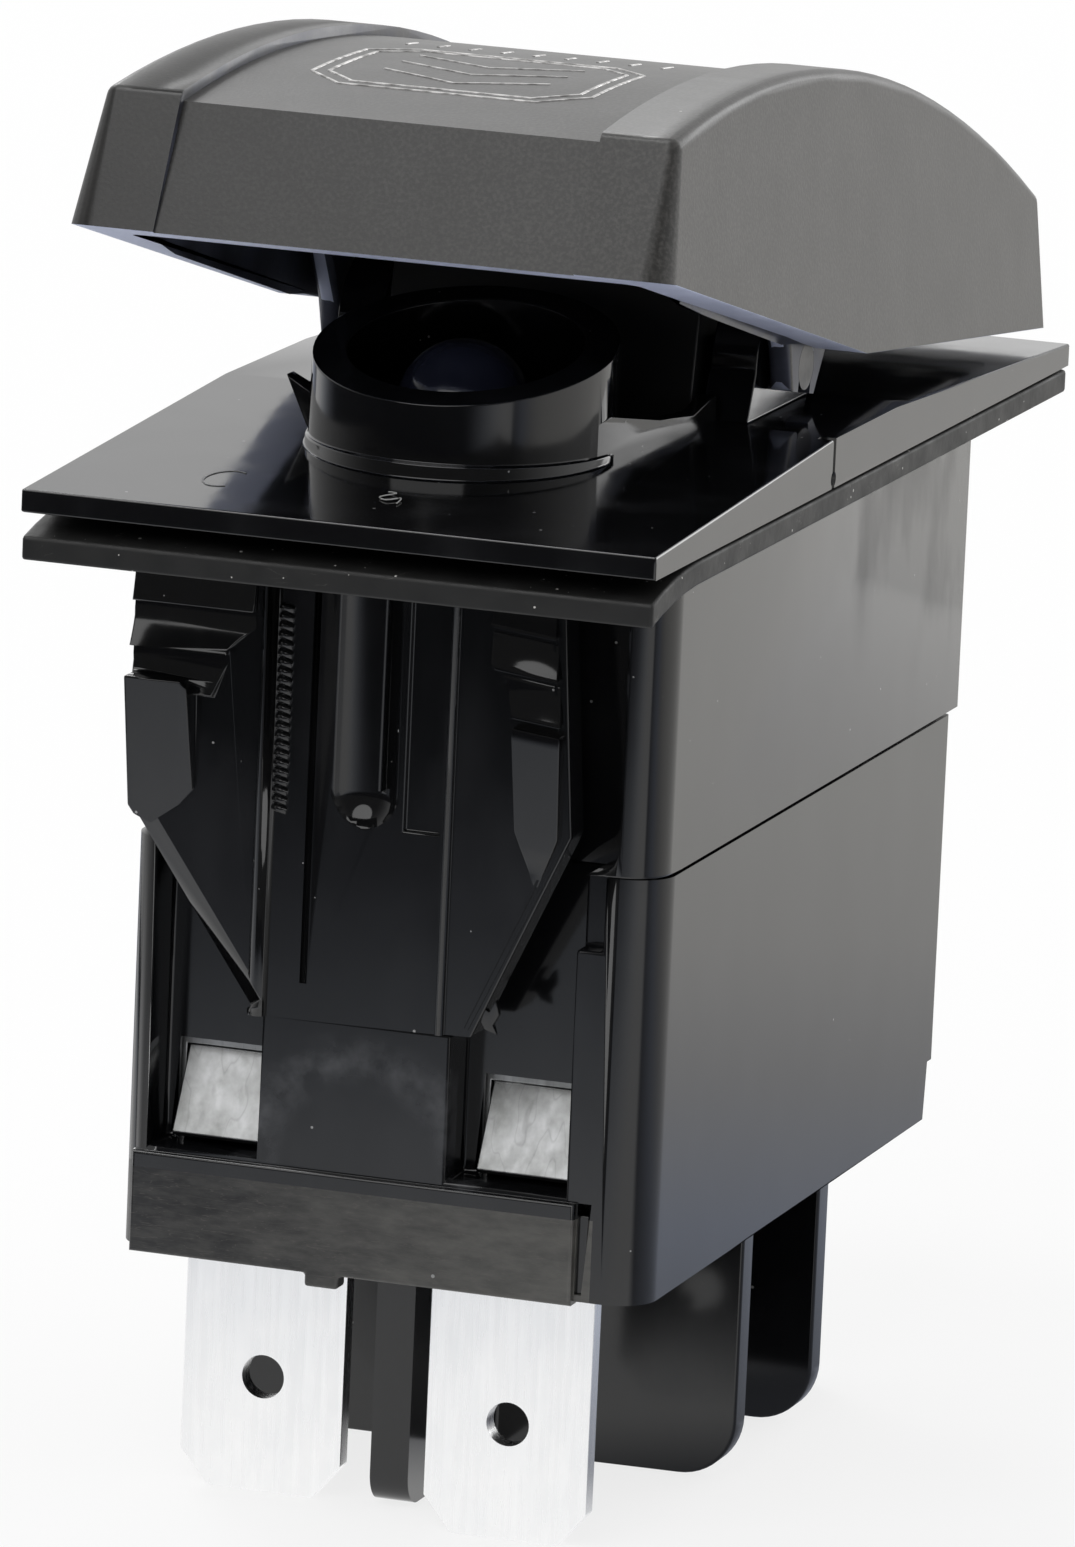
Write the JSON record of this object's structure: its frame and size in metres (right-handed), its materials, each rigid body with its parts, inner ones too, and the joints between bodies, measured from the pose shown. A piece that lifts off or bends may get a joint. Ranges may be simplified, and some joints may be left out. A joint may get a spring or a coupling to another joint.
{
  "type": "panel rocker switch",
  "caption": "Snap-in panel rocker switch: arched cap tilting over two lamp collars, flanged bracket with gasket and latch wings, contact base with quick-connect blades.",
  "frame": {"origin": "centre of the panel seat, the underside of the flange", "axes": "+Z out of the panel towards the cap, -Y towards the front end with the raised side of the cap, X across the switch"},
  "size_m": [0.0242, 0.0504, 0.0539],
  "materials": {
    "cap_paint": "satin soft-touch paint over translucent plastic",
    "black_gloss": "gloss moulding",
    "black_satin": "satin moulding",
    "rubber": "matte",
    "tinned_brass": "tin plated",
    "copper_strip": "bright",
    "contact_silver": "bright",
    "steel_wire": "bright",
    "lens": "tinted clear epoxy",
    "resistor_coat": "lacquered",
    "nylon": "natural"
  },
  "bodies": {
    "housing": {"bracket": "black_gloss", "panel_gasket": "rubber", "base": "black_gloss", "led_front": "lens", "led_rear": "lens", "lead_wires_front": "steel_wire", "lead_wires_rear": "steel_wire", "resistor_front": "resistor_coat", "resistor_rear": "resistor_coat", "lamp_terminal_left": "tinned_brass", "lamp_terminal_right": "tinned_brass", "rear_lamp_terminal": "tinned_brass", "common_terminal": "tinned_brass", "load_terminal": "tinned_brass", "fixed_contact": "contact_silver"},
    "rocker": {"rocker_cap": "cap_paint", "actuator": "black_satin", "plunger_spring": "steel_wire"},
    "plunger_body": {"plunger": "nylon"},
    "contact_body": {"contact_rocker": "copper_strip", "moving_contact": "contact_silver"}
  },
  "joints": [
    {"name": "rocker_pivot", "type": "hinge", "parent": "housing", "child": "rocker", "pos_m": [0, 0, 0.0036], "axis": [1, 0, 0], "range_deg": [0, 21]},
    {"name": "plunger_slide", "type": "slide", "parent": "rocker", "child": "plunger_body", "axis": [0, 0.1822, 0.9833], "range_m": [0, 0.0006], "stiffness_N_per_m": 300, "springref_m": -0.001, "deforming": ["plunger_spring"]},
    {"name": "contact_tilt", "type": "hinge", "parent": "housing", "child": "contact_body", "pos_m": [-0.0046, 0, -0.01703], "axis": [1, 0, 0], "range_deg": [-12, 0]}
  ],
  "couplings": [
    {"joint": "contact_tilt", "follows": "rocker_pivot", "ratio": -0.5714}
  ]
}
